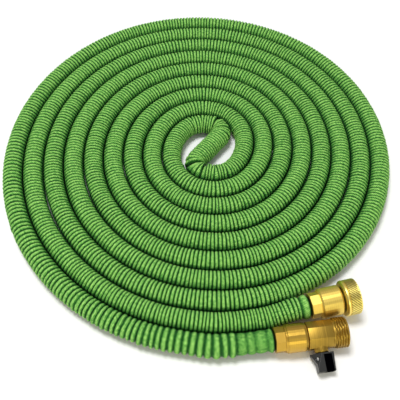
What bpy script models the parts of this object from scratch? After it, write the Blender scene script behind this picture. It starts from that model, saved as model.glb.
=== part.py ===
"""Expandable garden hose, relaxed and coiled flat as a double spiral, with brass end fittings.

The hose is folded at its middle. From that fold both halves wind outwards side by side,
anticlockwise seen from above, so the two ends come out together at the front right.
One end carries a shut-off valve with a male hose thread, the other a swivel nut.
Units are metres. +Z is up, the hose lies on Z = 0 and -Y is the front.
"""
import math

import bmesh
import bpy
from mathutils import Matrix, Vector

MM = 0.001
GAP = 0.3 * MM  # clearance between pieces that touch

# Hose
HOSE_DIAMETER = 18.8 * MM
STRAND_PITCH = 20.0 * MM  # centre to centre of neighbouring strands
FIRST_RADIUS = 20.2 * MM  # spiral radius extrapolated to a turning angle of zero
COIL_OVALITY = 3.7 * MM  # how much further the coil reaches to the front and back than sideways
POINTS_PER_TURN = 24
COIL_CENTRE = Vector((10.0 * MM, 15.005 * MM))
SPIRAL_START = math.radians(120)
VALVE_SPIRAL_END = math.radians(1695)
COUPLING_SPIRAL_END = math.radians(1530)

# One half of the fold, from the middle of the hose to the start of a spiral, about the coil's centre.
# The other half is the same, turned half round.
FOLD_HALF = [(0.0, 0.0), (3.9, 5.5), (7.4, 10.4), (10.5, 14.9), (12.2, 18.4), (12.6, 22.3), (11.6, 26.0),
             (9.4, 29.1), (6.2, 31.3), (2.4, 32.4), (-3.0, 33.1), (-9.3, 33.3)]
# The last stretch of each end, along the floor and up to its fitting: from where its spiral ends, and
# the rise above the hose that lies flat.
VALVE_TAIL = [(54.8, -9.4, 0.0), (78.8, -8.3, 0.2), (96.3, -6.4, 1.0)]
COUPLING_TAIL = [(25.4, 1.0, 0.0), (50.5, 5.5, 0.8), (64.5, 9.3, 2.2), (75.5, 13.1, 3.7)]
TAIL_STRAIGHT = 8.0 * MM  # straight length of hose in front of each fitting

# Fittings: how far from the end of its spiral the hose meets them, and where they point
VALVE_REACH = Vector((115.25 * MM, -3.55 * MM))
VALVE_HEADING = math.radians(9.4)
COUPLING_REACH = Vector((91.9 * MM, 17.6 * MM))
COUPLING_HEADING = math.radians(14.7)
COUPLING_RISE = math.radians(3.0)  # the coupling leans back on its nut, which is its thickest piece
STEM_DROP = math.radians(13.0)  # how far the valve is rolled over towards its handle
TURNED_SIDES = 32

# Brass collars that hold the hose's ends
COLLAR_FLATS = 20.4 * MM
COLLAR_LENGTH = 8.6 * MM
COLLAR_CHAMFER = 0.8 * MM

# Shut-off valve
TAILPIECE_DIAMETER = 24.2 * MM
TAILPIECE_LENGTH = 27.6 * MM
TAILPIECE_STEP = 1.9 * MM
VALVE_BODY_FLATS = 22.8 * MM
VALVE_BODY_LENGTH = 21.3 * MM
THREAD_DIAMETER = 25.8 * MM
THREAD_PITCH = 2.21 * MM
THREAD_DEPTH = 1.1 * MM
THREAD_CRESTS = 5
THREAD_NECK = 1.8 * MM
WATERWAY_DIAMETER = 16.0 * MM
WATERWAY_DEPTH = 19.5 * MM
STEM_FROM_BODY = 10.4 * MM  # stem axis from the rear face of the octagonal body
STEM_DIAMETER = 3.8 * MM
BOSS_DIAMETER = 11.8 * MM
BOSS_HEIGHT = 3.2 * MM

# Lever handle, measured along the valve and outwards along the stem
HANDLE_THICKNESS = 9.0 * MM
HANDLE_REACH = 15.5 * MM
HANDLE_OUTLINE = [(-9.7, 0.0), (9.0, 0.0), (8.1, 1.0), (-6.3, 1.0), (-6.2, 0.58), (-9.7, 0.1)]
HANDLE_ROUNDING = 0.5 * MM
GRIP_RECESS = (0.3 * MM, 7.1 * MM)  # its two sides, ahead of the stem's axis
GRIP_RECESS_DEPTH = 1.6 * MM
GRIP_RECESS_START = 1.3 * MM
HANDLE_END_WALL = 2.4 * MM
FLANK_START = 1.0 * MM  # where the flank's top edge starts, behind the stem's axis
FLANK_LEAN = math.radians(32.0)
FLANK_TURN = math.radians(22.2)
SCREW_DIAMETER = 2.8 * MM
SCREW_FROM_TOP = 4.6 * MM  # set screw from the end of the handle that faces the valve
SCREW_REACH = 6.0 * MM  # head of the set screw from the stem's axis
SCREW_RISE = math.radians(30.0)

# Swivel coupling
COUPLING_DIAMETER = 26.0 * MM
COUPLING_LENGTH = 27.8 * MM
COUPLING_BORE = 15.0 * MM
COUPLING_BORE_DEPTH = 22.0 * MM
NECK_DIAMETER = 19.8 * MM
FLANGE_DIAMETER = 25.0 * MM
FLANGE_THICKNESS = 2.2 * MM
NUT_DIAMETER = 31.6 * MM
NUT_LENGTH = 13.5 * MM
NUT_CHAMBER = 26.2 * MM
NUT_LIP = 2.2 * MM
NUT_GROOVE = 1.5 * MM  # dark gap between the coupling's shoulder and the nut
NUT_SMOOTH_BAND = 4.6 * MM
NUT_CHAMFER = 1.2 * MM
WASHER_THICKNESS = 2.8 * MM


def clear_scene():
    for obj in list(bpy.data.objects):
        bpy.data.objects.remove(obj, do_unlink=True)


def new_collection(name, hidden=False):
    collection = bpy.data.collections.new(name)
    collection.hide_render = hidden
    bpy.context.scene.collection.children.link(collection)
    return collection


def new_material(name, colour, roughness, metallic):
    material = bpy.data.materials.new(name)
    material.use_nodes = True
    shader = material.node_tree.nodes["Principled BSDF"]
    shader.inputs["Base Color"].default_value = (*colour, 1.0)
    shader.inputs["Roughness"].default_value = roughness
    shader.inputs["Metallic"].default_value = metallic
    material.diffuse_color = (*colour, 1.0)
    return material


def new_object(name, data, collection, parent=None):
    obj = bpy.data.objects.new(name, data)
    collection.objects.link(obj)
    obj.parent = parent
    return obj


def as_cutter(obj):
    obj.display_type = "WIRE"
    obj.hide_render = True
    return obj


def boolean(obj, other, operation):
    cut = obj.modifiers.new(other.name, "BOOLEAN")
    cut.operation = operation
    cut.object = other
    cut.solver = "EXACT"


def turned(name, profile, collection, parent, place=(0.0, 0.0, 0.0), along=(1.0, 0.0, 0.0), closed=False):
    """Solid of revolution. The profile holds (radius, distance along the axis), far end first."""
    mesh = bpy.data.meshes.new(name)
    edges = [(i, i + 1) for i in range(len(profile) - 1)]
    if closed:
        edges.append((len(profile) - 1, 0))
    mesh.from_pydata([(radius, 0.0, height) for radius, height in profile], edges, [])
    obj = new_object(name, mesh, collection, parent)
    obj.location = place
    obj.rotation_euler = Vector(along).to_track_quat("Z", "Y").to_euler()
    screw = obj.modifiers.new("Turn", "SCREW")
    screw.steps = screw.render_steps = TURNED_SIDES
    screw.use_merge_vertices = True
    screw.merge_threshold = 0.00001
    return obj


def prism(name, sides, across_corners, near, far, collection, parent, place, along, turn=0.0):
    """Straight bar with flat sides, from near to far along its axis."""
    mesh = bpy.data.meshes.new(name)
    bm = bmesh.new()
    bmesh.ops.create_cone(bm, cap_ends=True, segments=sides, radius1=across_corners / 2,
                          radius2=across_corners / 2, depth=far - near)
    shift = Matrix.Translation((0.0, 0.0, (near + far) / 2)) @ Matrix.Rotation(turn, 4, "Z")
    bmesh.ops.transform(bm, matrix=shift, verts=bm.verts)
    bm.to_mesh(mesh)
    bm.free()
    obj = new_object(name, mesh, collection, parent)
    obj.location = place
    obj.rotation_euler = Vector(along).to_track_quat("Z", "Y").to_euler()
    return obj


def finish(obj, material, sharp=math.radians(35)):
    """Shades the round faces smooth and keeps the machined edges sharp."""
    bpy.context.view_layer.update()
    evaluated = obj.evaluated_get(bpy.context.evaluated_depsgraph_get())
    mesh = bpy.data.meshes.new_from_object(evaluated)
    mesh.name = obj.name
    obj.modifiers.clear()
    obj.data = mesh
    mesh.materials.clear()
    mesh.materials.append(material)
    mesh.shade_smooth()
    mesh.set_sharp_from_angle(angle=sharp)
    return obj


def octagon_corners(flats):
    return flats / math.cos(math.pi / 8)


def spiral_point(angle):
    """Centreline of the half that ends at the valve, at a turning angle counted outwards from the fold."""
    radius = FIRST_RADIUS + STRAND_PITCH * angle / math.pi - COIL_OVALITY * math.cos(2 * angle)
    return Vector((radius * math.cos(angle), radius * math.sin(angle)))


def spiral_half(end, side):
    """Points of one half from the fold outwards. side is 1, or -1 for the half turned half round."""
    step = 2 * math.pi / POINTS_PER_TURN
    count = round((end - SPIRAL_START) / step) + 1
    return [side * spiral_point(SPIRAL_START + step * i) for i in range(count)]


def smooth_route(points, steps):
    """Points along a Catmull-Rom curve through the given ones, whose first and last only steer it."""
    route = []
    for before, start, end, after in zip(points, points[1:], points[2:], points[3:]):
        for i in range(steps):
            t = i / steps
            route.append(0.5 * (2 * start + (end - before) * t
                                + (2 * before - 5 * start + 4 * end - after) * t ** 2
                                + (3 * start - before - 3 * end + after) * t ** 3))
    route.append(points[-2].copy())
    return route


def fitting_frame(place, heading, rise, rest, radius, roll=0.0):
    """Frame at the hose's end, X along the fitting. It touches the floor where its radius at rest is given."""
    height = radius * math.cos(rise) - rest * math.sin(rise)
    return (Matrix.Translation((COIL_CENTRE.x + place.x, COIL_CENTRE.y + place.y, height))
            @ Matrix.Rotation(heading, 4, "Z") @ Matrix.Rotation(-rise, 4, "Y") @ Matrix.Rotation(roll, 4, "X"))


def valve_frame():
    """The valve lies on its round sleeve and on its thread, which is a little thicker."""
    place = spiral_half(VALVE_SPIRAL_END, 1)[-1] + VALVE_REACH
    rest = COLLAR_LENGTH + TAILPIECE_STEP
    thread_start = TAILPIECE_LENGTH + GAP + VALVE_BODY_LENGTH + THREAD_NECK
    rise = math.asin((THREAD_DIAMETER - TAILPIECE_DIAMETER) / 2 / (thread_start - rest))
    return fitting_frame(place, VALVE_HEADING, rise, rest, TAILPIECE_DIAMETER / 2, STEM_DROP)


def coupling_frame():
    place = spiral_half(COUPLING_SPIRAL_END, -1)[-1] + COUPLING_REACH
    return fitting_frame(place, COUPLING_HEADING, COUPLING_RISE, COUPLING_LENGTH + NUT_GROOVE, NUT_DIAMETER / 2)


def on_floor(point):
    return Vector((COIL_CENTRE.x + point.x, COIL_CENTRE.y + point.y, HOSE_DIAMETER / 2))


def tail_points(start, points):
    return [start + Vector(point) * MM for point in points]


def hose_tail(spiral, points, frame):
    """Smooth run from the end of a spiral through its tail points, straight into the fitting."""
    meet = frame.translation
    along = frame.to_3x3() @ Vector((1.0, 0.0, 0.0))
    straight = meet - along * TAIL_STRAIGHT
    route = smooth_route(spiral[-2:] + tail_points(spiral[-1], points) + [straight, meet], 2)[1:] + [meet]
    for point in route:
        point.z = max(point.z, HOSE_DIAMETER / 2)
    return route


def hose_route():
    """Centreline of the whole hose, from the valve's end through the fold to the coupling's end."""
    valve_half = [on_floor(p) for p in spiral_half(VALVE_SPIRAL_END, 1)]
    coupling_half = [on_floor(p) for p in spiral_half(COUPLING_SPIRAL_END, -1)]
    half = [Vector(p) * MM for p in FOLD_HALF]
    fold = [on_floor(p) for p in reversed(half)] + [on_floor(-p) for p in half[1:]]
    fold = smooth_route([valve_half[0]] + fold + [coupling_half[0]], 2)
    valve_tail = hose_tail(valve_half, VALVE_TAIL, valve_frame())
    coupling_tail = hose_tail(coupling_half, COUPLING_TAIL, coupling_frame())
    return valve_tail[::-1] + valve_half[::-1] + fold + coupling_half + coupling_tail


def make_hose(parts, fabric):
    route = hose_route()
    curve = bpy.data.curves.new("hose_sleeve", "CURVE")
    curve.dimensions = "3D"
    curve.twist_mode = "Z_UP"
    curve.bevel_depth = HOSE_DIAMETER / 2
    curve.bevel_resolution = 4
    curve.use_fill_caps = True
    spline = curve.splines.new("POLY")
    spline.points.add(len(route) - 1)
    for point, place in zip(spline.points, route):
        point.co = (*place, 1.0)
    curve.materials.append(fabric)
    return new_object("hose_sleeve", curve, parts)


def collar(name, shoulder, collection, parent):
    """Octagonal end of a fitting, which the hose is clamped in. It runs a little into the shoulder."""
    body = prism(name, 8, octagon_corners(COLLAR_FLATS), GAP, shoulder, collection, parent,
                 (0.0, 0.0, 0.0), (1.0, 0.0, 0.0), math.pi / 8)
    bevel = body.modifiers.new("Chamfer", "BEVEL")
    bevel.width = COLLAR_CHAMFER / 2
    bevel.segments = 1
    bevel.limit_method = "ANGLE"
    bevel.angle_limit = math.radians(60)
    return body


def make_tailpiece(parts, cutters, parent, brass):
    """Octagonal collar and round sleeve turned in one piece, screwed into the valve's body."""
    radius = TAILPIECE_DIAMETER / 2
    rear = COLLAR_LENGTH
    step = rear + TAILPIECE_STEP
    far = TAILPIECE_LENGTH
    profile = [(0.0, far), (radius - 1.2 * MM, far), (radius - 0.5 * MM, far - 0.7 * MM), (radius, far - 2.6 * MM),
               (radius, step), (radius - 0.7 * MM, step - 0.5 * MM), (radius - 0.7 * MM, rear + 0.4 * MM),
               (radius - 1.1 * MM, rear), (0.0, rear)]
    sleeve = turned("valve_tailpiece", profile, parts, parent)
    octagon = as_cutter(collar("tailpiece_collar", rear + MM, cutters, parent))
    boolean(sleeve, octagon, "UNION")
    return finish(sleeve, brass)


def thread_profile(root, far):
    """Outer side of a male thread as plain rings, from its far end back to its neck."""
    crest = THREAD_DIAMETER / 2
    valley = crest - THREAD_DEPTH
    profile = [(valley, far)]
    for i in range(THREAD_CRESTS):
        top = far - THREAD_PITCH * (i + 0.5)
        profile += [(crest, top + THREAD_PITCH * 0.15), (crest, top - THREAD_PITCH * 0.15),
                    (valley, top - THREAD_PITCH * 0.5)]
    return profile + [(valley, root)]


def make_valve_body(parts, cutters, parent, brass):
    """Octagonal bar with the male thread, the stem's boss, the stem's hole and the open waterway."""
    rear = TAILPIECE_LENGTH + GAP
    front = rear + VALVE_BODY_LENGTH
    far = front + THREAD_NECK + THREAD_PITCH * THREAD_CRESTS
    along = (1.0, 0.0, 0.0)
    outward = (0.0, -1.0, 0.0)
    stem_x = rear + STEM_FROM_BODY
    face = VALVE_BODY_FLATS / 2
    body = prism("valve_body", 8, octagon_corners(VALVE_BODY_FLATS), rear, front, parts, parent,
                 (0.0, 0.0, 0.0), along, math.pi / 8)
    outline = thread_profile(front, far)
    thread = as_cutter(turned("male_thread", [(0.0, far)] + outline + [(outline[-1][0], front - MM), (0.0, front - MM)],
                              cutters, parent))
    boss = as_cutter(prism("stem_boss", 24, BOSS_DIAMETER, face / 2, face + BOSS_HEIGHT, cutters, parent,
                           (stem_x, 0.0, 0.0), outward))
    waterway = as_cutter(prism("waterway", TURNED_SIDES, WATERWAY_DIAMETER, far - WATERWAY_DEPTH, far + MM,
                               cutters, parent, (0.0, 0.0, 0.0), along))
    stem_hole = as_cutter(prism("stem_hole", 24, STEM_DIAMETER + 2 * GAP, face / 2, face + BOSS_HEIGHT + MM,
                                cutters, parent, (stem_x, 0.0, 0.0), outward))
    for other, operation in ((thread, "UNION"), (boss, "UNION"), (waterway, "DIFFERENCE"), (stem_hole, "DIFFERENCE")):
        boolean(body, other, operation)
    return finish(body, brass)


def handle_start():
    return VALVE_BODY_FLATS / 2 + BOSS_HEIGHT + 2 * GAP


def make_stem(parts, parent, brass):
    tip = handle_start() + HANDLE_REACH - HANDLE_END_WALL - GAP
    stem = prism("valve_stem", 24, STEM_DIAMETER, VALVE_BODY_FLATS / 4 + GAP, tip, parts, parent,
                 (0.0, 0.0, 0.0), (0.0, -1.0, 0.0))
    return finish(stem, brass)


def flank_frame():
    """Plane of the handle's sloping flank: its origin on the top edge, its Z away from the handle."""
    corner = Vector((-FLANK_START, -handle_start(), HANDLE_THICKNESS / 2))
    return Matrix.Translation(corner) @ Matrix.Rotation(-FLANK_TURN, 4, "Z") @ Matrix.Rotation(-FLANK_LEAN, 4, "Y")


def screw_frame():
    """Axis of the set screw: from the stem's axis, its Z towards its head."""
    start = Vector((0.0, -handle_start() - SCREW_FROM_TOP, 0.0))
    outward = Vector((-math.cos(SCREW_RISE), 0.0, math.sin(SCREW_RISE)))
    return Matrix.Translation(start) @ outward.to_track_quat("Z", "Y").to_matrix().to_4x4()


def make_handle(parts, cutters, parent, plastic):
    """Moulded lever with a sloping flank, a recessed grip and a hole for the stem."""
    near = handle_start()
    curve = bpy.data.curves.new("handle_outline", "CURVE")
    curve.dimensions = "2D"
    curve.fill_mode = "BOTH"
    curve.extrude = HANDLE_THICKNESS / 2
    spline = curve.splines.new("POLY")
    spline.use_cyclic_u = True
    spline.points.add(len(HANDLE_OUTLINE) - 1)
    for point, (across, reach) in zip(spline.points, HANDLE_OUTLINE):
        point.co = (across * MM, near + reach * HANDLE_REACH, 0.0, 1.0)
    blank = new_object("handle_outline", curve, cutters, parent)
    blank.rotation_euler = (math.pi, 0.0, 0.0)
    bpy.context.view_layer.update()
    evaluated = blank.evaluated_get(bpy.context.evaluated_depsgraph_get())
    mesh = bpy.data.meshes.new_from_object(evaluated)
    bm = bmesh.new()
    bm.from_mesh(mesh)
    bmesh.ops.remove_doubles(bm, verts=bm.verts, dist=0.00001)
    bmesh.ops.recalc_face_normals(bm, faces=bm.faces)
    bm.to_mesh(mesh)
    bm.free()
    handle = new_object("valve_handle", mesh, parts, parent)
    handle.rotation_euler = blank.rotation_euler
    bpy.data.objects.remove(blank, do_unlink=True)

    outward = (0.0, -1.0, 0.0)
    slab = 4 * HANDLE_REACH
    flank = as_cutter(box("handle_flank", (slab, slab, slab), (0.0, 0.0, slab / 2), cutters, parent))
    flank.matrix_local = flank_frame()
    low, high = GRIP_RECESS
    top = HANDLE_THICKNESS / 2
    middle = near + GRIP_RECESS_START + HANDLE_REACH / 2
    recess = as_cutter(box("grip_recess", (high - low, HANDLE_REACH, 2 * GRIP_RECESS_DEPTH),
                           ((low + high) / 2, -middle, top), cutters, parent))
    hole = as_cutter(prism("handle_bore", 24, STEM_DIAMETER + 2 * GAP, near - MM,
                           near + HANDLE_REACH - HANDLE_END_WALL, cutters, parent, (0.0, 0.0, 0.0), outward))
    seat = as_cutter(prism("screw_seat", 20, SCREW_DIAMETER + 2 * GAP, 0.0, SCREW_REACH + HANDLE_THICKNESS,
                           cutters, parent, (0.0, 0.0, 0.0), outward))
    seat.matrix_local = screw_frame()
    for cutter in (flank, recess):
        boolean(handle, cutter, "DIFFERENCE")
    rounding = handle.modifiers.new("Rounding", "BEVEL")
    rounding.width = HANDLE_ROUNDING
    rounding.segments = 2
    rounding.limit_method = "ANGLE"
    rounding.angle_limit = math.radians(25)
    for cutter in (hole, seat):
        boolean(handle, cutter, "DIFFERENCE")
    return finish(handle, plastic)


def box(name, size, centre, collection, parent):
    mesh = bpy.data.meshes.new(name)
    bm = bmesh.new()
    bmesh.ops.create_cube(bm, size=1.0)
    bmesh.ops.scale(bm, vec=size, verts=bm.verts)
    bmesh.ops.translate(bm, vec=centre, verts=bm.verts)
    bm.to_mesh(mesh)
    bm.free()
    return new_object(name, mesh, collection, parent)


def make_screw(parts, parent, steel):
    screw = prism("handle_screw", 20, SCREW_DIAMETER, STEM_DIAMETER / 2 + GAP, SCREW_REACH, parts, parent,
                  (0.0, 0.0, 0.0), (0.0, 0.0, 1.0))
    screw.matrix_local = screw_frame()
    return finish(screw, steel)


def flange_start():
    return COUPLING_LENGTH + NUT_GROOVE + NUT_LIP + GAP


def make_coupling_body(parts, cutters, parent, brass):
    """Octagonal collar and sleeve, the neck that the nut turns on, its flange and the open bore."""
    radius = COUPLING_DIAMETER / 2
    neck = NECK_DIAMETER / 2
    flange = FLANGE_DIAMETER / 2
    rear = COLLAR_LENGTH
    shoulder = COUPLING_LENGTH
    inner = flange_start()
    far = inner + FLANGE_THICKNESS
    profile = [(0.0, far), (flange, far), (flange, inner), (neck, inner), (neck, shoulder),
               (radius - 0.9 * MM, shoulder), (radius, shoulder - 1.2 * MM), (radius, rear + 1.4 * MM),
               (radius - 1.2 * MM, rear), (0.0, rear)]
    body = turned("coupling_body", profile, parts, parent)
    octagon = as_cutter(collar("coupling_collar", rear + MM, cutters, parent))
    bore = as_cutter(prism("coupling_bore", TURNED_SIDES, COUPLING_BORE, far - COUPLING_BORE_DEPTH, far + MM,
                           cutters, parent, (0.0, 0.0, 0.0), (1.0, 0.0, 0.0)))
    boolean(body, octagon, "UNION")
    boolean(body, bore, "DIFFERENCE")
    return finish(body, brass)


def make_swivel_nut(parts, parent, brass):
    """Round nut with a lip that runs behind the coupling's flange, and a chamber for the male thread."""
    near = COUPLING_LENGTH + NUT_GROOVE
    far = near + NUT_LENGTH
    radius = NUT_DIAMETER / 2
    chamber = NUT_CHAMBER / 2
    lip = NECK_DIAMETER / 2 + GAP
    groove = near + NUT_SMOOTH_BAND
    profile = [(chamber, far), (radius - NUT_CHAMFER, far), (radius, far - NUT_CHAMFER),
               (radius, groove + 0.4 * MM), (radius - 0.6 * MM, groove), (radius, groove - 0.4 * MM),
               (radius, near + 1.6 * MM), (radius - 0.9 * MM, near), (lip, near), (lip, near + NUT_LIP),
               (chamber, near + NUT_LIP)]
    nut = turned("swivel_nut", profile, parts, parent, closed=True)
    return finish(nut, brass)


def make_washer(parts, parent, rubber):
    """Flat hose washer that lies on the flange, inside the nut."""
    near = flange_start() + FLANGE_THICKNESS + GAP
    far = near + WASHER_THICKNESS
    outer = NUT_CHAMBER / 2 - 2 * GAP
    inner = COUPLING_BORE / 2 + GAP
    washer = turned("hose_washer", [(inner, far), (outer, far), (outer, near), (inner, near)], parts, parent,
                    closed=True)
    return finish(washer, rubber)


def new_empty(name, collection, matrix, parent=None):
    empty = new_object(name, None, collection, parent)
    empty.matrix_local = matrix
    return empty


clear_scene()
parts = new_collection("garden_hose")
cutters = new_collection("garden_hose_cutters", hidden=True)

fabric = new_material("green_fabric", (0.10, 0.40, 0.05), 0.75, 0.0)
brass = new_material("brass", (0.80, 0.56, 0.20), 0.28, 1.0)
black_plastic = new_material("black_plastic", (0.012, 0.012, 0.014), 0.38, 0.0)
black_rubber = new_material("black_rubber", (0.02, 0.02, 0.02), 0.7, 0.0)
steel = new_material("screw_steel", (0.62, 0.62, 0.64), 0.3, 1.0)

valve = new_empty("valve_axis", parts, valve_frame())
coupling = new_empty("coupling_axis", parts, coupling_frame())
stem_place = (TAILPIECE_LENGTH + GAP + STEM_FROM_BODY, 0.0, 0.0)
stem_axis = new_empty("stem_axis", parts, Matrix.Translation(stem_place), valve)

make_hose(parts, fabric)
make_tailpiece(parts, cutters, valve, brass)
make_valve_body(parts, cutters, valve, brass)
make_stem(parts, stem_axis, brass)
make_handle(parts, cutters, stem_axis, black_plastic)
make_screw(parts, stem_axis, steel)
make_coupling_body(parts, cutters, coupling, brass)
make_swivel_nut(parts, coupling, brass)
make_washer(parts, coupling, black_rubber)
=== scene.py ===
import math
import random

import bmesh
import bpy
import numpy as np
from mathutils import Matrix, Vector, kdtree


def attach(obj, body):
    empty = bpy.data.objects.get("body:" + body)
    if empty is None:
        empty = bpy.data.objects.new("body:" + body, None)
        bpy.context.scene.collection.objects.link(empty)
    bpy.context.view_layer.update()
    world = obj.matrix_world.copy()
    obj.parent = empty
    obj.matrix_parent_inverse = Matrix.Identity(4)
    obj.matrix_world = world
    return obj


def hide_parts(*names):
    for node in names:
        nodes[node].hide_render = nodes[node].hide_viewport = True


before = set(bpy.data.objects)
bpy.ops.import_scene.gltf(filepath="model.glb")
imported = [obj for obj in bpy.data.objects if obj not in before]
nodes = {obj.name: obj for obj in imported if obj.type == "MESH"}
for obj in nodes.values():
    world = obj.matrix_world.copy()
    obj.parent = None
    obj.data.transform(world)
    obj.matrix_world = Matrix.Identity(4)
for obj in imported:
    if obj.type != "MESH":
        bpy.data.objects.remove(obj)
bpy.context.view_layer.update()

# The camera looks down on the coil from the front, as a product photograph is taken. Its place and lens
# follow the turns of the coil in the picture, and it is rolled a little.
MM = 0.001
COIL_CENTRE = Vector((10.0 * MM, 15.005 * MM, 0.0))
LOOK_AT = COIL_CENTRE - Vector((6.37 * MM, 58.72 * MM, 0.0))
CAMERA_DISTANCE = 616.9 * MM
CAMERA_HEIGHT = math.radians(54.764)  # above level, as an angle
CAMERA_ROLL = 0.0421  # radians
CAMERA_LENS = 55.886  # focal length in millimetres, over a film 36 mm wide
camera_data = bpy.data.cameras.new("camera")
camera_data.lens = CAMERA_LENS
camera_data.sensor_width = 36.0
camera_data.clip_start = 0.02
camera = bpy.data.objects.new("camera", camera_data)
bpy.context.scene.collection.objects.link(camera)
away = Vector((0.0, -math.cos(CAMERA_HEIGHT), math.sin(CAMERA_HEIGHT)))
camera.matrix_world = (Matrix.Translation(LOOK_AT + away * CAMERA_DISTANCE)
                       @ Matrix.Rotation(math.pi / 2 - CAMERA_HEIGHT, 4, "X")
                       @ Matrix.Rotation(CAMERA_ROLL, 4, "Z"))
bpy.context.scene.camera = camera


# The hose is a woven green sleeve over a soft inner tube. With no water in it the tube shortens and gathers
# the sleeve into fine pleats, which open towards the valve, where the sleeve lies almost smooth. It is folded
# at its middle, and both halves are wound outwards side by side, anticlockwise.
HOSE_RADIUS = 9.4 * MM  # of the plain tube that the pleats stand on
PLEAT_RADIUS = 9.85 * MM  # to the tops of the fine pleats
TUBE_SIDES = 13
STRAND_PITCH = 20.0 * MM
FIRST_RADIUS = 20.2 * MM
COIL_OVALITY = 3.7 * MM
SPIRAL_START = 120  # degrees round the coil's centre, where the fold runs out into the two spirals
SPIRAL_STEP = 3  # degrees
VALVE_SPIRAL_END = 1695
COUPLING_SPIRAL_END = 1530
STRAIGHT_IN = 8.0 * MM  # the hose runs this far straight into a fitting
# In millimetres: half of the fold, from the coil's centre, and the two tails, from the ends of the spirals
FOLD_HALF = [(0.0, 0.0), (3.9, 5.5), (7.4, 10.4), (10.5, 14.9), (12.2, 18.4), (12.6, 22.3), (11.6, 26.0),
             (9.4, 29.1), (6.2, 31.3), (2.4, 32.4), (-3.0, 33.1), (-9.3, 33.3)]
VALVE_TAIL = [(54.8, -9.4, 0.0), (78.8, -8.3, 0.2), (96.3, -6.4, 1.0)]
COUPLING_TAIL = [(25.4, 1.0, 0.0), (50.5, 5.5, 0.8), (64.5, 9.3, 2.2), (75.5, 13.1, 3.7)]


def fitting_frame(reach, height, heading, rise, roll):
    """Frame of a fitting, X along it, from where the hose meets it. In millimetres and degrees."""
    place = COIL_CENTRE + Vector((reach[0] * MM, reach[1] * MM, height * MM))
    return (Matrix.Translation(place) @ Matrix.Rotation(math.radians(heading), 4, "Z")
            @ Matrix.Rotation(math.radians(-rise), 4, "Y") @ Matrix.Rotation(math.radians(roll), 4, "X"))


valve_frame = fitting_frame(reach=(60.448, -208.073), height=11.890, heading=9.4, rise=1.132, roll=13.0)
coupling_frame = fitting_frame(reach=(91.9, -176.3), height=14.245, heading=14.7, rise=3.0, roll=0.0)


def spiral_half(end, side):
    """One spiral, up to an angle in degrees. Side is 1 for the valve's spiral and -1 for the coupling's."""
    points = []
    for i in range(round((end - SPIRAL_START) / SPIRAL_STEP) + 1):
        angle = math.radians(SPIRAL_START + SPIRAL_STEP * i)
        radius = FIRST_RADIUS + STRAND_PITCH * angle / math.pi - COIL_OVALITY * math.cos(2 * angle)
        place = Vector((side * radius * math.cos(angle), side * radius * math.sin(angle), HOSE_RADIUS))
        points.append(COIL_CENTRE + place)
    return points


def smooth_route(points, steps):
    """Smooth curve through the points, apart from the first and the last, which only steer its ends."""
    route = []
    for before, start, end, after in zip(points, points[1:], points[2:], points[3:]):
        for i in range(steps):
            t = i / steps
            route.append(0.5 * (2 * start + (end - before) * t
                                + (2 * before - 5 * start + 4 * end - after) * t ** 2
                                + (3 * start - before - 3 * end + after) * t ** 3))
    return route


def hose_tail(spiral, points, fitting):
    """From the end of the coil, up to the fitting and straight into it."""
    meet = fitting.translation
    along = fitting.to_3x3() @ Vector((STRAIGHT_IN, 0.0, 0.0))
    tail = [spiral[-1] + Vector(point) * MM for point in points]
    through = [spiral[-6], spiral[-1]] + tail + [meet - along, meet, meet + along]
    return smooth_route(through, steps=10)[1:] + [meet]


valve_half = spiral_half(VALVE_SPIRAL_END, 1)
coupling_half = spiral_half(COUPLING_SPIRAL_END, -1)
half = [COIL_CENTRE + Vector((x * MM, y * MM, HOSE_RADIUS)) for x, y in FOLD_HALF]
other_half = [COIL_CENTRE + Vector((-x * MM, -y * MM, HOSE_RADIUS)) for x, y in FOLD_HALF[1:]]
fold = smooth_route([valve_half[0]] + half[::-1] + other_half + [coupling_half[0]], steps=6)
valve_tail = hose_tail(valve_half, VALVE_TAIL, valve_frame)
coupling_tail = hose_tail(coupling_half, COUPLING_TAIL, coupling_frame)
route = valve_tail[::-1] + valve_half[::-1] + fold + coupling_half + coupling_tail
route = [Vector((p.x, p.y, max(p.z, PLEAT_RADIUS))) for p in route]
route_at = [0.0]
for start, end in zip(route, route[1:]):
    route_at.append(route_at[-1] + (end - start).length)
hose_length = route_at[-1]
route_array = np.array([tuple(p) for p in route])


def along_hose(distance):
    return Vector([np.interp(distance, route_at, route_array[:, axis]) for axis in range(3)])


# The room beside the hose, all the way along: half the distance to the next strand, on the right under 1
# and on the left under -1
ROOM_SEEN = 12 * MM  # strands that leave more room than this don't count
SAME_STRAND = 34 * MM  # points nearer than this along the hose belong to the strand itself
neighbours = kdtree.KDTree(len(route))
for i, point in enumerate(route):
    neighbours.insert(point, i)
neighbours.balance()
room = {1: [], -1: []}
for i, point in enumerate(route):
    tangent = route[min(i + 1, len(route) - 1)] - route[max(i - 1, 0)]
    to_right = tangent.cross(Vector((0.0, 0.0, 1.0)))
    free = {1: ROOM_SEEN, -1: ROOM_SEEN}
    for place, j, gap in neighbours.find_range(point, 2 * ROOM_SEEN):
        if abs(route_at[j] - route_at[i]) > SAME_STRAND:
            hand = 1 if (place - point).dot(to_right) > 0 else -1
            free[hand] = min(free[hand], gap / 2)
    room[1].append(free[1])
    room[-1].append(free[-1])


def distance_of(x, y):
    """Where along the hose a point of the fold lies, given about the coil's centre."""
    point = COIL_CENTRE + Vector((x * MM, y * MM, PLEAT_RADIUS))
    return route_at[neighbours.find(point)[1]]


fold_at = distance_of(0.0, 0.0)

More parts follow.
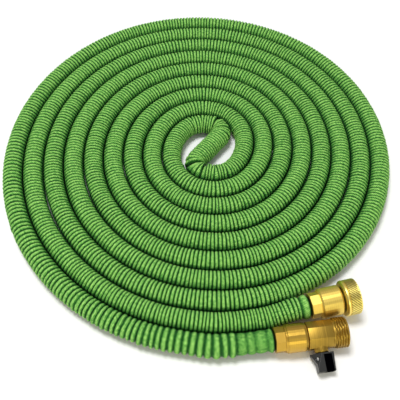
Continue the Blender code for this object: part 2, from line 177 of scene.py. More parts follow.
# Widths of a pleat in millimetres: the distances from the fitting, then the widths there. Near the fold they
# are a little less.
VALVE_SIDE = ([36, 75, 105, 135, 170, 330, 400, 600, 1700, 2100],
              [7.0, 6.3, 5.25, 4.5, 4.4, 4.2, 3.85, 3.65, 3.7, 3.45])
COUPLING_SIDE = ([0, 30, 120, 300, 2600], [3.3, 3.2, 3.3, 3.65, 3.4])
NEAR_FOLD = ([60, 170], [0.84, 1.0])


def pleat_pitch(distance):
    """Width of one pleat at a distance from the valve."""
    if distance < fold_at:
        usual = np.interp(distance / MM, *VALVE_SIDE)
    else:
        usual = np.interp((hose_length - distance) / MM, *COUPLING_SIDE)
    return usual * np.interp(abs(distance - fold_at) / MM, *NEAR_FOLD) * MM


# The two hairpins of the fold, where the sleeve bunches up into a few uneven folds, with the least and the
# greatest width of one in millimetres, and the places where it is pinched right in
upper_knuckle = (distance_of(3.0, 32.2), distance_of(12.5, 21.0))
lower_knuckle = (distance_of(-12.5, -21.0), distance_of(-3.0, -32.2))
UPPER_WIDTHS = (2.3, 3.6)
LOWER_WIDTHS = (2.8, 5.4)
pinches = (distance_of(6.2, 31.3), distance_of(-12.2, -24.0), distance_of(-4.0, -32.0))
PINCH_REACH = 1.9 * MM

# Where each pleat starts, and its width. The first ones by the valve are only soft creases.
CREASE_WIDTHS = (6.2 * MM, 9.6 * MM, 7.4 * MM, 8.9 * MM)
LEAST_LAST_PLEAT = 5.5 * MM
PLEAT_SPREAD = 0.11  # by how much of its usual width a pleat is wider or narrower
random.seed(7)
pleats = []
distance = 0.0
for width in CREASE_WIDTHS:
    pleats.append((distance, width))
    distance += width
creases_end = distance
while hose_length - distance >= LEAST_LAST_PLEAT:
    width = pleat_pitch(distance) * random.uniform(1 - PLEAT_SPREAD, 1 + PLEAT_SPREAD)
    if upper_knuckle[0] - MM < distance < upper_knuckle[1]:
        width = random.uniform(*UPPER_WIDTHS) * MM
    elif lower_knuckle[0] - MM < distance < lower_knuckle[1]:
        width = random.uniform(*LOWER_WIDTHS) * MM
    if hose_length - distance - width < LEAST_LAST_PLEAT:
        width = hose_length - distance
    pleats.append((distance, width))
    distance += width

# Outline of one pleat of each kind: how far along its width, how far out from its top in millimetres, and
# its height, which sets its painted light, from 0, painted shade in the crease between two pleats, to 1 on top
SOFT_CREASE = [(0.0, -1.1, 0.42), (0.22, -0.35, 0.68), (0.5, 0.1, 0.78), (0.78, -0.3, 0.62)]
WIDE_PLEAT = [(0.0, -2.1, 0.22), (0.15, -1.0, 0.42), (0.36, 0.0, 0.93), (0.63, 0.0, 0.88),
              (0.85, -0.9, 0.38)]
FINE_PLEAT = [(0.0, -1.7, 0.0), (0.2, -0.5, 0.55), (0.42, 0.0, 1.0), (0.74, -0.15, 0.88)]
WIDE_FROM = 4.6 * MM
WIDEST = 6.8 * MM

# Rings of the tube: distance, radius, height on the pleat (which sets its painted light), lean and unevenness
rings = []
lean = 0.0
for start, width in pleats:
    lean = 0.9 * lean + random.uniform(-0.22, 0.22)
    swell = random.uniform(-0.12, 0.12) * MM
    upper = upper_knuckle[0] - MM < start < upper_knuckle[1]
    lower = lower_knuckle[0] - MM < start < lower_knuckle[1] + 2 * MM
    if start < creases_end:
        shape = SOFT_CREASE
        top = 9.3 * MM
    elif upper or lower:
        pinched = any(abs(start - at) < PINCH_REACH for at in pinches)
        deep = -5.0 if pinched else -2.6 if lower else -2.0
        shape = [(0.0, deep, 0.0), (0.14, 0.4 * deep, 0.40), (0.4, 0.2, 1.0), (0.75, 0.0, 0.9),
                 (0.92, -0.9, 0.4)]
        top = PLEAT_RADIUS + (-2.4 if pinched else 0.5) * MM + 5 * swell
    elif width > WIDE_FROM:
        shape = WIDE_PLEAT
        top = float(np.interp(width, [WIDE_FROM, WIDEST], [10.1, 10.6])) * MM + 2 * swell
    else:
        shape = FINE_PLEAT
        top = PLEAT_RADIUS + swell + (0.8 * MM if upper_knuckle[0] < start < lower_knuckle[1] else 0.0)
    uneven = 2.5 if lower else 1.0
    for share, dip, height in shape:
        rings.append((start + share * width, top + dip * MM, height, lean, random.uniform(-uneven, uneven)))

# At both ends the sleeve is tucked in under the fitting's collar: distance, radius and height there, low for
# painted shade under the collar
TUCKED = [(0.0, 7.9 * MM, 0.0), (1.3 * MM, 8.1 * MM, 0.0), (1.7 * MM, 8.9 * MM, 0.4)]
rings = [ring for ring in rings if 2.2 * MM < ring[0] < hose_length - TUCKED[-1][0]]
rings = ([(at, radius, height, 0.0, 0.0) for at, radius, height in TUCKED] + rings
         + [(hose_length - at, radius, height, 0.0, 0.0) for at, radius, height in TUCKED[::-1]])

# The tube, pressed flat on the floor and against the next strand. Its value for the cloth's colour is painted
# light:
# the ring's height, with painted shade underneath and in the narrow gap between two strands.
SIDE_CLEARANCE = 0.03 * MM  # from the middle between two strands
FLOOR_CLEARANCE = 0.02 * MM
PRESSED_ROOM = 11 * MM  # with less room than this, a side of the hose is pressed flat
SHADED_ROOM = 11.3 * MM  # with less room than this, it is in the shade of the next strand
STEP = 0.6 * MM  # either way, for the direction of the hose
HALF_CHORD = 4 * MM  # either way, for how tightly it bends
UV_UNIT = 10 * MM  # of the cloth's pattern along the hose
UV_ROUND = 6.0  # units of it round the hose

hose_mesh = bmesh.new()
painted_cloth_light_layer = hose_mesh.verts.layers.float.new("painted_cloth_light")
uv_layer = hose_mesh.loops.layers.uv.new("sleeve")
rows = []
for distance, radius, height, lean, jitter in rings:
    centre = along_hose(distance)
    ahead = along_hose(min(distance + STEP, hose_length))
    behind = along_hose(max(distance - STEP, 0.0))
    tangent = (ahead - behind).normalized()
    side = tangent.cross(Vector((0.0, 0.0, 1.0))).normalized()
    up = side.cross(tangent)
    space = {hand: float(np.interp(distance, route_at, room[hand])) for hand in (1, -1)}
    chord = (along_hose(min(distance + HALF_CHORD, hose_length))
             - along_hose(max(distance - HALF_CHORD, 0.0)))
    straight = max(0.0, min(1.0, (chord.length / (2 * HALF_CHORD) - 0.9) / 0.1))
    tight = 1.0 - straight
    reach = radius * (1.0 + 0.07 * tight) + 0.5 * MM * tight * jitter
    row = []
    for k in range(TUBE_SIDES):
        angle = 2 * math.pi * k / TUBE_SIDES
        across = math.cos(angle)
        rise = math.sin(angle)
        out = reach + 0.14 * MM * jitter * math.sin(2 * angle + 9 * jitter)
        beside = space[1 if across > 0 else -1]
        sideways = min(out, beside - SIDE_CLEARANCE)
        if beside < PRESSED_ROOM:
            sideways += (beside - SIDE_CLEARANCE - sideways) * abs(across) ** 6
        place = centre + side * (sideways * across) + up * (out * rise)
        place += tangent * (straight * MM * (lean * rise + 0.25 * jitter * across))
        place.z = max(place.z, FLOOR_CLEARANCE)
        vert = hose_mesh.verts.new(place)
        # Painted shade: darker underneath the tube, and on a side in the shade of the next strand unless it
        # faces up
        touching = max(0.0, min(1.0, (SHADED_ROOM - beside) / MM))
        open_above = max(0.0, min(1.0, (rise - 0.08) / 0.60))
        below = max(0.0, min(1.0, (rise + 0.9) / 0.5))
        vert[painted_cloth_light_layer] = height * below * (1.0 - touching * (1.0 - open_above))
        row.append(vert)
    rows.append(row)
for j in range(len(rows) - 1):
    for k in range(TUBE_SIDES):
        k2 = (k + 1) % TUBE_SIDES
        face = hose_mesh.faces.new((rows[j][k], rows[j][k2], rows[j + 1][k2], rows[j + 1][k]))
        corners = ((rings[j][0], k), (rings[j][0], k + 1), (rings[j + 1][0], k + 1), (rings[j + 1][0], k))
        for loop, (u, v) in zip(face.loops, corners):
            loop[uv_layer].uv = (u / UV_UNIT, v / TUBE_SIDES * UV_ROUND)
hose_mesh.faces.new(rows[0][::-1])
hose_mesh.faces.new(rows[-1])
bmesh.ops.recalc_face_normals(hose_mesh, faces=hose_mesh.faces)
hose_data = bpy.data.meshes.new("pleated_sleeve")
hose_mesh.to_mesh(hose_data)
hose_mesh.free()
hose_data.shade_smooth()
sleeve = bpy.data.objects.new("pleated_sleeve", hose_data)
bpy.context.scene.collection.objects.link(sleeve)


def calculated(tree, operation, *values):
    """Output of a new Math node. Each value is a number or another node's output."""
    node = tree.nodes.new("ShaderNodeMath")
    node.operation = operation
    for socket, value in zip(node.inputs, values):
        if isinstance(value, bpy.types.NodeSocket):
            tree.links.new(value, socket)
        else:
            socket.default_value = value
    return node.outputs[0]


# Woven cloth with slanting ribs, lit by painting: a painted highlight where a pleat stands up, and painted
# shade, almost black, in the crease between two
cloth = bpy.data.materials.new("green_fabric")
cloth.use_nodes = True
tree = cloth.node_tree
shader = tree.nodes["Principled BSDF"]
painted_cloth_light = tree.nodes.new("ShaderNodeAttribute")
painted_cloth_light.attribute_name = "painted_cloth_light"
uv = tree.nodes.new("ShaderNodeUVMap")
uv.uv_map = "sleeve"
rib = tree.nodes.new("ShaderNodeTexWave")
rib.wave_type = "BANDS"
rib.bands_direction = "DIAGONAL"
rib.inputs["Scale"].default_value = 3.6
rib.inputs["Distortion"].default_value = 2.2
rib.inputs["Detail"].default_value = 2.0
rib.inputs["Detail Scale"].default_value = 3.0
tree.links.new(uv.outputs["UV"], rib.inputs["Vector"])
patches = tree.nodes.new("ShaderNodeTexNoise")
patches.inputs["Scale"].default_value = 4.5
patches.inputs["Detail"].default_value = 3.0
tree.links.new(uv.outputs["UV"], patches.inputs["Vector"])
weave = calculated(tree, "MULTIPLY_ADD", rib.outputs["Fac"], 0.62, 0.48)
patchy = calculated(tree, "MULTIPLY_ADD", patches.outputs["Fac"], 1.7, 0.17)
pattern = calculated(tree, "MULTIPLY", weave, patchy)
# The ramp turns painted light into colour: near black in painted shade, shaded and half-lit greens, a bright
# painted highlight on top
shade = tree.nodes.new("ShaderNodeValToRGB")
shade.color_ramp.elements[0].position = 0.04
shade.color_ramp.elements[0].color = (0.001, 0.010, 0.002, 1.0)
shade.color_ramp.elements[1].position = 1.0
shade.color_ramp.elements[1].color = (0.44, 0.79, 0.20, 1.0)
shaded_green = shade.color_ramp.elements.new(0.32)
shaded_green.color = (0.018, 0.13, 0.020, 1.0)
green = shade.color_ramp.elements.new(0.62)
green.color = (0.143, 0.445, 0.068, 1.0)
tree.links.new(calculated(tree, "MULTIPLY", painted_cloth_light.outputs["Fac"], pattern), shade.inputs["Fac"])
tree.links.new(shade.outputs["Color"], shader.inputs["Base Color"])
bump = tree.nodes.new("ShaderNodeBump")
bump.inputs["Strength"].default_value = 0.8
bump.inputs["Distance"].default_value = 0.0004
tree.links.new(pattern, bump.inputs["Height"])
tree.links.new(bump.outputs["Normal"], shader.inputs["Normal"])
shader.inputs["Roughness"].default_value = 0.7
shader.inputs["Specular IOR Level"].default_value = 0.15
hose_data.materials.append(cloth)

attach(sleeve, "hose")
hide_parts("hose_sleeve")


# The valve's tailpiece and the coupling's body are turned from brass bar, with eight flats milled on the
# collar that clamps the hose, and left bright. The tool leaves fine rings round them.
# The same brass in several lightnesses, brighter or darker to paint in how brightly each piece is lit
BRIGHT_BRASS = (0.96, 0.71, 0.16)
LIGHT_BRASS = (0.62, 0.39, 0.064)
DARK_BRASS = (0.44, 0.28, 0.047)

tool_marks_and_painted_light = bpy.data.node_groups.new("tool_marks_and_painted_light", "ShaderNodeTree")
for way, name, kind in (("INPUT", "Along", "NodeSocketFloat"), ("INPUT", "Painted light", "NodeSocketFloat"),
                        ("INPUT", "Colour", "NodeSocketColor"), ("INPUT", "Roughness", "NodeSocketFloat"),
                        ("OUTPUT", "Colour", "NodeSocketColor"), ("OUTPUT", "Roughness", "NodeSocketFloat"),
                        ("OUTPUT", "Height", "NodeSocketFloat")):
    tool_marks_and_painted_light.interface.new_socket(name=name, in_out=way, socket_type=kind)
marks_in = tool_marks_and_painted_light.nodes.new("NodeGroupInput")
marks_out = tool_marks_and_painted_light.nodes.new("NodeGroupOutput")
fine_rings = tool_marks_and_painted_light.nodes.new("ShaderNodeTexNoise")
fine_rings.noise_dimensions = "1D"
fine_rings.inputs["Scale"].default_value = 1.0
fine_rings.inputs["Detail"].default_value = 3.0
tool_marks_and_painted_light.links.new(marks_in.outputs["Along"], fine_rings.inputs["W"])
tarnish = tool_marks_and_painted_light.nodes.new("ShaderNodeMapRange")
tarnish.inputs["From Min"].default_value = 0.3
tarnish.inputs["From Max"].default_value = 0.7
tarnish.inputs["To Min"].default_value = 0.80
tarnish.inputs["To Max"].default_value = 1.06
tool_marks_and_painted_light.links.new(fine_rings.outputs["Fac"], tarnish.inputs["Value"])
tinted = tool_marks_and_painted_light.nodes.new("ShaderNodeVectorMath")
tinted.operation = "SCALE"
# Painted light: the colour is scaled down to a near-black painted shade where the light value is 0, and up past
# 1 for a painted highlight
painted_light_scale = tool_marks_and_painted_light.nodes.new("ShaderNodeMapRange")
painted_light_scale.clamp = False
painted_light_scale.inputs["To Min"].default_value = 0.05
painted_light_scale.inputs["To Max"].default_value = 1.0
tool_marks_and_painted_light.links.new(marks_in.outputs["Painted light"], painted_light_scale.inputs["Value"])
tarnish_and_painted_light = calculated(tool_marks_and_painted_light, "MULTIPLY", tarnish.outputs["Result"], painted_light_scale.outputs["Result"])
tool_marks_and_painted_light.links.new(marks_in.outputs["Colour"], tinted.inputs[0])
tool_marks_and_painted_light.links.new(tarnish_and_painted_light, tinted.inputs["Scale"])
tool_marks_and_painted_light.links.new(tinted.outputs["Vector"], marks_out.inputs["Colour"])
rougher = calculated(tool_marks_and_painted_light, "MULTIPLY_ADD", fine_rings.outputs["Fac"], 0.14, marks_in.outputs["Roughness"])
tool_marks_and_painted_light.links.new(rougher, marks_out.inputs["Roughness"])
tool_marks_and_painted_light.links.new(fine_rings.outputs["Fac"], marks_out.inputs["Height"])


def brass_finish(name, colour, roughness, fitting, marks_per_metre, bright_to=None):
    """Brass with rings round its fitting's axis, and painted light: painted shade past bright_to, or else
    painted shade and highlight kept in an attribute of its mesh.
    """
    material = bpy.data.materials.new(name)
    material.use_nodes = True
    tree = material.node_tree
    shader = tree.nodes["Principled BSDF"]
    coords = tree.nodes.new("ShaderNodeTexCoord")
    measured = tree.nodes.new("ShaderNodeVectorMath")
    measured.operation = "DOT_PRODUCT"
    measured.inputs[1].default_value = fitting.to_3x3() @ Vector((marks_per_metre, 0.0, 0.0))
    tree.links.new(coords.outputs["Object"], measured.inputs[0])
    marks_and_light = tree.nodes.new("ShaderNodeGroup")
    marks_and_light.node_tree = tool_marks_and_painted_light
    marks_and_light.inputs["Colour"].default_value = (*colour, 1.0)
    marks_and_light.inputs["Roughness"].default_value = roughness
    tree.links.new(measured.outputs["Value"], marks_and_light.inputs["Along"])
    if bright_to is None:
        painted_light = tree.nodes.new("ShaderNodeAttribute")
        painted_light.attribute_name = "painted_light"
        tree.links.new(painted_light.outputs["Fac"], marks_and_light.inputs["Painted light"])
    else:
        # Painted shade on everything past bright_to
        end = fitting.translation + fitting.to_3x3() @ Vector((bright_to, 0.0, 0.0))
        limit = end.dot(measured.inputs[1].default_value)
        unshaded = calculated(tree, "LESS_THAN", measured.outputs["Value"], limit)
        tree.links.new(unshaded, marks_and_light.inputs["Painted light"])
    relief = tree.nodes.new("ShaderNodeBump")
    relief.inputs["Strength"].default_value = 0.35
    relief.inputs["Distance"].default_value = 0.0001
    tree.links.new(marks_and_light.outputs["Height"], relief.inputs["Height"])
    tree.links.new(marks_and_light.outputs["Colour"], shader.inputs["Base Color"])
    tree.links.new(marks_and_light.outputs["Roughness"], shader.inputs["Roughness"])
    tree.links.new(relief.outputs["Normal"], shader.inputs["Normal"])
    shader.inputs["Metallic"].default_value = 1.0
    return material


FINE_MARKS = 2600.0  # per metre
VALVE_BRIGHT_TO = 90 * MM  # past its front end: bright all over
COUPLING_BRIGHT_TO = 27.75 * MM  # the end of the sleeve: past it the neck is painted dark, as painted shade from the nut
valve_brass = brass_finish("turned_brass_valve", LIGHT_BRASS, 0.30, valve_frame, FINE_MARKS, VALVE_BRIGHT_TO)
coupling_brass = brass_finish("turned_brass_coupling", BRIGHT_BRASS, 0.36, coupling_frame, FINE_MARKS,
                              COUPLING_BRIGHT_TO)
for name, finish in (("valve_tailpiece", valve_brass), ("valve_stem", valve_brass),
                     ("coupling_body", coupling_brass)):
    for slot in nodes[name].material_slots:
        slot.material = finish


# The valve's body is an eight-sided brass bar, a little rougher than the turned pieces and painted darker as a
# shaded copy of their brass. The round boss for the stem stands on one of its flats, and the male hose thread
# is cut on its front end, round the waterway.
BAR_START = 27.9 * MM
BAR_LENGTH = 21.3 * MM
BAR_FLATS = 22.8 * MM
NECK = 1.8 * MM
THREAD_PITCH = 2.21 * MM
THREAD_TURNS = 5
THREAD_RADIUS = 12.9 * MM
THREAD_DEPTH = 1.1 * MM
WATERWAY_RADIUS = 8.0 * MM
WATERWAY_DEPTH = 19.5 * MM
STEM_AT = 38.3 * MM
BOSS_BASE = 6.3 * MM
BOSS_TOP = 5.7 * MM
BOSS_LENGTH = 9.0 * MM
BOSS_OUT = 1.3 * MM  # from the middle of the boss back to the flat that it stands on
STEM_HOLE_RADIUS = 2.2 * MM
STEM_HOLE_DEPTH = 12.0 * MM
bar_end = BAR_START + BAR_LENGTH
thread_end = bar_end + NECK + THREAD_PITCH * THREAD_TURNS


def placed(obj, matrix):
    """Moves a piece that was modelled along X into its place in the fitting, and bakes that into its mesh."""
    bpy.ops.object.select_all(action="DESELECT")
    obj.select_set(True)
    bpy.context.view_layer.objects.active = obj
    obj.matrix_world = matrix @ obj.matrix_world
    bpy.ops.object.transform_apply(location=True, rotation=True, scale=True)


def turned_blank(name, outline, steps):
    """Closed ring turned round X from an outline of (distance, radius)."""
    data = bpy.data.meshes.new(name)
    edges = [(i, (i + 1) % len(outline)) for i in range(len(outline))]
    data.from_pydata([(x, 0.0, r) for x, r in outline], edges, [])
    blank = bpy.data.objects.new(name, data)
    bpy.context.scene.collection.objects.link(blank)
    bpy.ops.object.select_all(action="DESELECT")
    blank.select_set(True)
    bpy.context.view_layer.objects.active = blank
    turn = blank.modifiers.new("turn", "SCREW")
    turn.axis = "X"
    turn.steps = turn.render_steps = steps
    turn.use_merge_vertices = True
    turn.merge_threshold = 0.00001
    bpy.ops.object.modifier_apply(modifier="turn")
    bpy.ops.object.mode_set(mode="EDIT")
    bpy.ops.mesh.select_all(action="SELECT")
    bpy.ops.mesh.normals_make_consistent(inside=False)
    bpy.ops.object.mode_set(mode="OBJECT")
    return blank


def thread_height(distance, vert, pitch):
    """0 in the root and 1 on the crest of a right-hand thread along X."""
    phase = (distance / pitch + math.atan2(vert.co.y, vert.co.z) / (2 * math.pi)) % 1.0
    return max(0.0, min(1.0, 2.3 * (1.0 - abs(2.0 * phase - 1.0)) - 0.55))


flats_up = Matrix.Rotation(math.radians(22.5), 4, "X") @ Matrix.Rotation(math.pi / 2, 4, "Y")
bpy.ops.object.select_all(action="DESELECT")
bpy.ops.mesh.primitive_cylinder_add(vertices=8, radius=BAR_FLATS / 2 / math.cos(math.pi / 8),
                                    depth=BAR_LENGTH, location=(BAR_START + BAR_LENGTH / 2, 0.0, 0.0),
                                    rotation=flats_up.to_euler())
barrel = bpy.context.object
barrel.name = "valve_barrel"
bpy.ops.object.select_all(action="DESELECT")
bpy.ops.mesh.primitive_cone_add(vertices=48, radius1=BOSS_BASE, radius2=BOSS_TOP, depth=BOSS_LENGTH,
                                location=(STEM_AT, -BAR_FLATS / 2 + BOSS_OUT, 0.0),
                                rotation=(math.pi / 2, 0.0, 0.0))
boss = bpy.context.object
edge_break = boss.modifiers.new("edge", "BEVEL")
edge_break.width = 0.5 * MM
edge_break.segments = 2
edge_break.angle_limit = math.radians(50)
bpy.ops.object.modifier_apply(modifier="edge")
bpy.ops.object.select_all(action="DESELECT")
bpy.ops.mesh.primitive_cylinder_add(vertices=64, radius=WATERWAY_RADIUS, depth=WATERWAY_DEPTH,
                                    location=(thread_end - WATERWAY_DEPTH / 2, 0.0, 0.0),
                                    rotation=(0.0, math.pi / 2, 0.0))
waterway = bpy.context.object
bpy.ops.object.select_all(action="DESELECT")
bpy.ops.mesh.primitive_cylinder_add(vertices=32, radius=STEM_HOLE_RADIUS, depth=STEM_HOLE_DEPTH,
                                    location=(STEM_AT, -STEM_HOLE_DEPTH, 0.0),
                                    rotation=(math.pi / 2, 0.0, 0.0))
stem_hole = bpy.context.object
bpy.context.view_layer.objects.active = barrel
milled = barrel.modifiers.new("edges", "BEVEL")
milled.width = 0.3 * MM
milled.segments = 2
for tool, operation in ((boss, "UNION"), (waterway, "DIFFERENCE"), (stem_hole, "DIFFERENCE")):
    cut = barrel.modifiers.new("cut", "BOOLEAN")
    cut.operation = operation
    cut.object = tool
    cut.solver = "EXACT"
bpy.ops.object.select_all(action="DESELECT")
barrel.select_set(True)
bpy.context.view_layer.objects.active = barrel
for modifier in list(barrel.modifiers):
    bpy.ops.object.modifier_apply(modifier=modifier.name)
for tool in (boss, waterway, stem_hole):
    bpy.data.objects.remove(tool, do_unlink=True)

# The thread: a plain spigot, whose rows are then pushed out to the crest of the helix. It fades in at the
# neck and out at the end.
THREAD_ROWS = 48
THREAD_STEPS = 72
SPIGOT_CHAMFER = 0.4 * MM
SPIGOT_OVERLAP = 0.2 * MM  # how far it reaches into the bar
FADE_IN = 0.9 * MM
FADE_OUT = 0.5 * MM
NEAR = 0.01 * MM  # two places closer than this are the same
root = THREAD_RADIUS - THREAD_DEPTH
spigot_start = bar_end - SPIGOT_OVERLAP
spigot = [(spigot_start + (thread_end - spigot_start) * i / THREAD_ROWS, root) for i in range(THREAD_ROWS + 1)]
spigot += [(thread_end, WATERWAY_RADIUS + SPIGOT_CHAMFER), (thread_end - SPIGOT_CHAMFER, WATERWAY_RADIUS),
           (spigot_start, WATERWAY_RADIUS)]
thread = turned_blank("male_thread", spigot, THREAD_STEPS)
for vert in thread.data.vertices:
    radius = math.hypot(vert.co.y, vert.co.z)
    if radius > root - NEAR:
        fade = min(1.0, max(0.0, (vert.co.x - bar_end - NECK / 2) / FADE_IN),
                   max(0.0, (thread_end - vert.co.x) / FADE_OUT))
        grown = radius + THREAD_DEPTH * fade * thread_height(vert.co.x, vert, THREAD_PITCH)
        vert.co.y *= grown / radius
        vert.co.z *= grown / radius
bpy.ops.object.select_all(action="DESELECT")
thread.select_set(True)
barrel.select_set(True)
bpy.context.view_layer.objects.active = barrel
bpy.ops.object.join()
bpy.ops.object.shade_smooth_by_angle(angle=math.radians(32))

# Painted light: 1 on the bar, painted shade in the thread's root and a painted highlight on its crest
painted_light = barrel.data.attributes.new("painted_light", "FLOAT", "POINT")
for vert in barrel.data.vertices:
    radius = math.hypot(vert.co.y, vert.co.z)
    brightness = 1.0
    if vert.co.x > bar_end + 0.05 * MM and radius > WATERWAY_RADIUS + 1.0 * MM:
        brightness = max(0.08, min(2.1, 2.5 * (radius - root) / THREAD_DEPTH - 0.2))
    painted_light.data[vert.index].value = brightness
placed(barrel, valve_frame)

bar_brass = brass_finish("milled_brass", DARK_BRASS, 0.36, valve_frame, 900.0)
barrel.data.materials.clear()
barrel.data.materials.append(bar_brass)
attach(barrel, "hose")
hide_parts("valve_body")


# The handle is a black lever moulded in one piece, shiny on its flat top and rough in the sunken grip beside
# it, which is also painted blacker as painted shade in the recess. It sits on the brass stem and is held by a
# small round set screw in its sloping flank.
GRIP_FLOOR = 4.0  # in millimetres above the stem's axis, between the floor of the grip and the top
GRIP_FROM = 0.1  # in millimetres ahead of the stem's axis
GRIP_TO = 7.3
plastic = bpy.data.materials.new("black_plastic")
plastic.use_nodes = True
tree = plastic.node_tree
shader = tree.nodes["Principled BSDF"]
coords = tree.nodes.new("ShaderNodeTexCoord")


def measured_along(tree, coords, fitting, direction, start):
    """Distance from a place in the fitting, in millimetres along one of its directions."""
    outward = fitting.to_3x3() @ Vector(direction)
    dot = tree.nodes.new("ShaderNodeVectorMath")
    dot.operation = "DOT_PRODUCT"
    dot.inputs[1].default_value = outward / MM
    tree.links.new(coords.outputs["Object"], dot.inputs[0])
    return calculated(tree, "SUBTRACT", dot.outputs["Value"], (fitting @ Vector(start)).dot(outward) / MM)


stem_middle = (STEM_AT, 0.0, 0.0)
above = measured_along(tree, coords, valve_frame, (0.0, 0.0, 1.0), stem_middle)
ahead = measured_along(tree, coords, valve_frame, (1.0, 0.0, 0.0), stem_middle)
sunk = calculated(tree, "LESS_THAN", above, GRIP_FLOOR)
past_ridge = calculated(tree, "GREATER_THAN", ahead, GRIP_FROM)
before_rim = calculated(tree, "LESS_THAN", ahead, GRIP_TO)
matte_and_shaded_grip = calculated(tree, "MULTIPLY", calculated(tree, "MULTIPLY", past_ridge, before_rim), sunk)
pores = tree.nodes.new("ShaderNodeTexNoise")
pores.inputs["Scale"].default_value = 900.0
pores.inputs["Detail"].default_value = 3.0
tree.links.new(coords.outputs["Object"], pores.inputs["Vector"])
colour = tree.nodes.new("ShaderNodeMix")
colour.data_type = "RGBA"
colour.inputs["A"].default_value = (0.010, 0.011, 0.010, 1.0)
# Painted shade: the sunken grip is painted near black
colour.inputs["B"].default_value = (0.0005, 0.0005, 0.001, 1.0)
tree.links.new(matte_and_shaded_grip, colour.inputs["Factor"])
tree.links.new(colour.outputs["Result"], shader.inputs["Base Color"])
tree.links.new(calculated(tree, "SUBTRACT", 1.0, matte_and_shaded_grip), shader.inputs["Coat Weight"])
shader.inputs["Coat Roughness"].default_value = 0.38
shader.inputs["Specular IOR Level"].default_value = 0.0
shader.inputs["Roughness"].default_value = 0.9
skin = tree.nodes.new("ShaderNodeBump")
skin.inputs["Strength"].default_value = 0.3
skin.inputs["Distance"].default_value = 0.0001
tree.links.new(pores.outputs["Fac"], skin.inputs["Height"])
tree.links.new(skin.outputs["Normal"], shader.inputs["Normal"])
for slot in nodes["valve_handle"].material_slots:
    slot.material = plastic


def grained_finish(name, colour, metallic, grain, smooth, rough):
    """One colour all over, with a fine grain that is smooth in some places and rough in others."""
    material = bpy.data.materials.new(name)
    material.use_nodes = True
    tree = material.node_tree
    shader = tree.nodes["Principled BSDF"]
    shader.inputs["Base Color"].default_value = (*colour, 1.0)
    shader.inputs["Metallic"].default_value = metallic
    coords = tree.nodes.new("ShaderNodeTexCoord")
    grains = tree.nodes.new("ShaderNodeTexNoise")
    grains.inputs["Scale"].default_value = grain
    tree.links.new(coords.outputs["Object"], grains.inputs["Vector"])
    worn = tree.nodes.new("ShaderNodeMapRange")
    worn.inputs["To Min"].default_value = smooth
    worn.inputs["To Max"].default_value = rough
    tree.links.new(grains.outputs["Fac"], worn.inputs["Value"])
    tree.links.new(worn.outputs["Result"], shader.inputs["Roughness"])
    return material


screw_steel = grained_finish("screw_steel", (0.62, 0.62, 0.64), 1.0, grain=1500.0, smooth=0.25, rough=0.45)
for slot in nodes["handle_screw"].material_slots:
    slot.material = screw_steel


# The swivel nut is turned from brass bar, with a smooth rounded rim at its rear, a groove, and a diamond
# knurl to grip it by. It turns on the coupling's neck, has the female thread inside, and holds a rubber washer.
NUT_START = 29.3 * MM
NUT_END = 42.8 * MM
NUT_RADIUS = 15.8 * MM
NECK_RADIUS = 10.2 * MM
CHAMBER_RADIUS = 13.1 * MM
KNURL_START = 3.8 * MM
KNURL_ROWS = 7
KNURL_DEPTH = 0.9 * MM
KNURL_STEPS = 76
KNURL_MARGIN = 1.2 * MM  # from the knurl to the front of the nut
CROWN_DEPTH = 0.15  # share of the knurl's depth that its points lie below the plain nut
HOLLOW_DEPTH = 0.85  # and the hollows between them
NUT_CHAMFER = 0.5 * MM
NUT_LIP = 2.2 * MM
NUT_THREAD_ROWS = 17
NUT_THREAD_STEP = 0.28 * MM  # from row to row
NUT_THREAD_FROM = 0.7 * MM  # from the front of the nut
NUT_THREAD_TO = 5.2 * MM
NUT_THREAD_DEPTH = 0.6 * MM
# Rim and groove, in millimetres from the rear of the nut and from its axis
REAR_OUTLINE = [(0.0, 10.2), (0.0, 13.6), (0.3, 14.5), (0.8, 15.2), (1.4, 15.65), (2.0, 15.8), (2.8, 15.8),
                (3.0, 15.7), (3.1, 15.15), (3.4, 15.1), (3.6, 15.5)]
knurl_from = NUT_START + KNURL_START
knurl_to = NUT_END - KNURL_MARGIN
knurl_length = knurl_to - knurl_from
chamber_mouth = NUT_END - NUT_CHAMFER
outline = [(NUT_START + x * MM, r * MM) for x, r in REAR_OUTLINE]
outline += [(knurl_from + knurl_length * i / KNURL_ROWS, NUT_RADIUS) for i in range(KNURL_ROWS + 1)]
outline += [(chamber_mouth, 15.45 * MM), (NUT_END, 14.9 * MM), (NUT_END, 13.6 * MM),
            (chamber_mouth, CHAMBER_RADIUS)]
outline += [(chamber_mouth - NUT_THREAD_STEP * i, CHAMBER_RADIUS) for i in range(1, NUT_THREAD_ROWS + 1)]
outline += [(NUT_START + NUT_LIP, CHAMBER_RADIUS), (NUT_START + NUT_LIP, NECK_RADIUS)]
nut = turned_blank("knurled_nut", outline, KNURL_STEPS)
painted_light = nut.data.attributes.new("painted_light", "FLOAT", "POINT")
for vert in nut.data.vertices:
    brightness = 1.0
    radius = math.hypot(vert.co.y, vert.co.z)
    grown = radius
    to_front = NUT_END - vert.co.x
    if radius > NUT_RADIUS - NEAR and knurl_from - NEAR < vert.co.x < knurl_to + NEAR:
        row_at = round((vert.co.x - knurl_from) / knurl_length * KNURL_ROWS)
        step_at = round(math.atan2(vert.co.y, vert.co.z) / (2 * math.pi) * KNURL_STEPS)
        crown = (row_at + step_at) % 2
        grown = radius - (CROWN_DEPTH if crown else HOLLOW_DEPTH) * KNURL_DEPTH
        # Painted highlight on the knurl's points and painted shade in its hollows
        brightness = 1.35 if crown else 0.2
    elif abs(radius - CHAMBER_RADIUS) < NEAR and NUT_THREAD_FROM < to_front < NUT_THREAD_TO:
        grown = radius - NUT_THREAD_DEPTH * thread_height(vert.co.x, vert, THREAD_PITCH)
    painted_light.data[vert.index].value = brightness
    vert.co.y *= grown / radius
    vert.co.z *= grown / radius
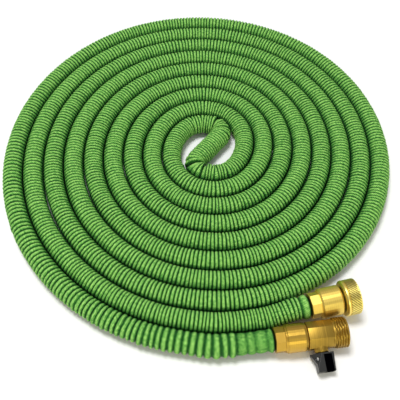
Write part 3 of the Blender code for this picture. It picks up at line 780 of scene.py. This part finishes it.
bpy.ops.object.shade_smooth_by_angle(angle=math.radians(20))
placed(nut, coupling_frame)
# The brightest copy of the brass, painted in for the light on the nut
KNURLED_BRASS = (1.0, 0.78, 0.20)
nut_brass = brass_finish("knurled_brass", KNURLED_BRASS, 0.30, coupling_frame, 1500.0)
nut.data.materials.append(nut_brass)
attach(nut, "nut")
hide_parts("swivel_nut")

rubber = grained_finish("black_rubber", (0.018, 0.018, 0.018), 0.0, grain=1200.0, smooth=0.6, rough=0.85)
for slot in nodes["hose_washer"].material_slots:
    slot.material = rubber


# The studio: a plain white floor just under the hose, one large soft light high on the left behind the coil,
# and a weak one in front
bpy.ops.object.select_all(action="DESELECT")
bpy.ops.mesh.primitive_plane_add(size=6.0, location=(0.0, 0.0, -0.05 * MM))
floor = bpy.context.object
floor.name = "studio_floor"
floor_material = bpy.data.materials.new("studio_white")
floor_material.use_nodes = True
floor_shader = floor_material.node_tree.nodes["Principled BSDF"]
floor_shader.inputs["Base Color"].default_value = (0.95, 0.95, 0.95, 1.0)
floor_shader.inputs["Roughness"].default_value = 0.9
floor_shader.inputs["Specular IOR Level"].default_value = 0.1
floor.data.materials.append(floor_material)

world = bpy.data.worlds.new("studio_air")
world.use_nodes = True
world.node_tree.nodes["Background"].inputs["Color"].default_value = (0.97, 0.96, 1.0, 1.0)
world.node_tree.nodes["Background"].inputs["Strength"].default_value = 0.40
bpy.context.scene.world = world


def soft_light(name, place, aim, size, power, colour):
    data = bpy.data.lights.new(name, "AREA")
    data.shape = "DISK"
    data.size = size
    data.energy = power
    data.color = colour
    light = bpy.data.objects.new(name, data)
    bpy.context.scene.collection.objects.link(light)
    light.location = place
    light.rotation_euler = (Vector(place) - Vector(aim)).to_track_quat("Z", "Y").to_euler()


soft_light("key_light", (-0.44, 0.25, 2.2), (0.0, 0.0, 0.0), 0.8, 38.0, (1.0, 1.0, 1.0))
soft_light("fill_light", (0.2, -1.3, 0.6), (0.0, 0.0, 0.0), 0.9, 5.5, (1.0, 0.97, 0.65))
bpy.context.scene.view_settings.view_transform = "Standard"
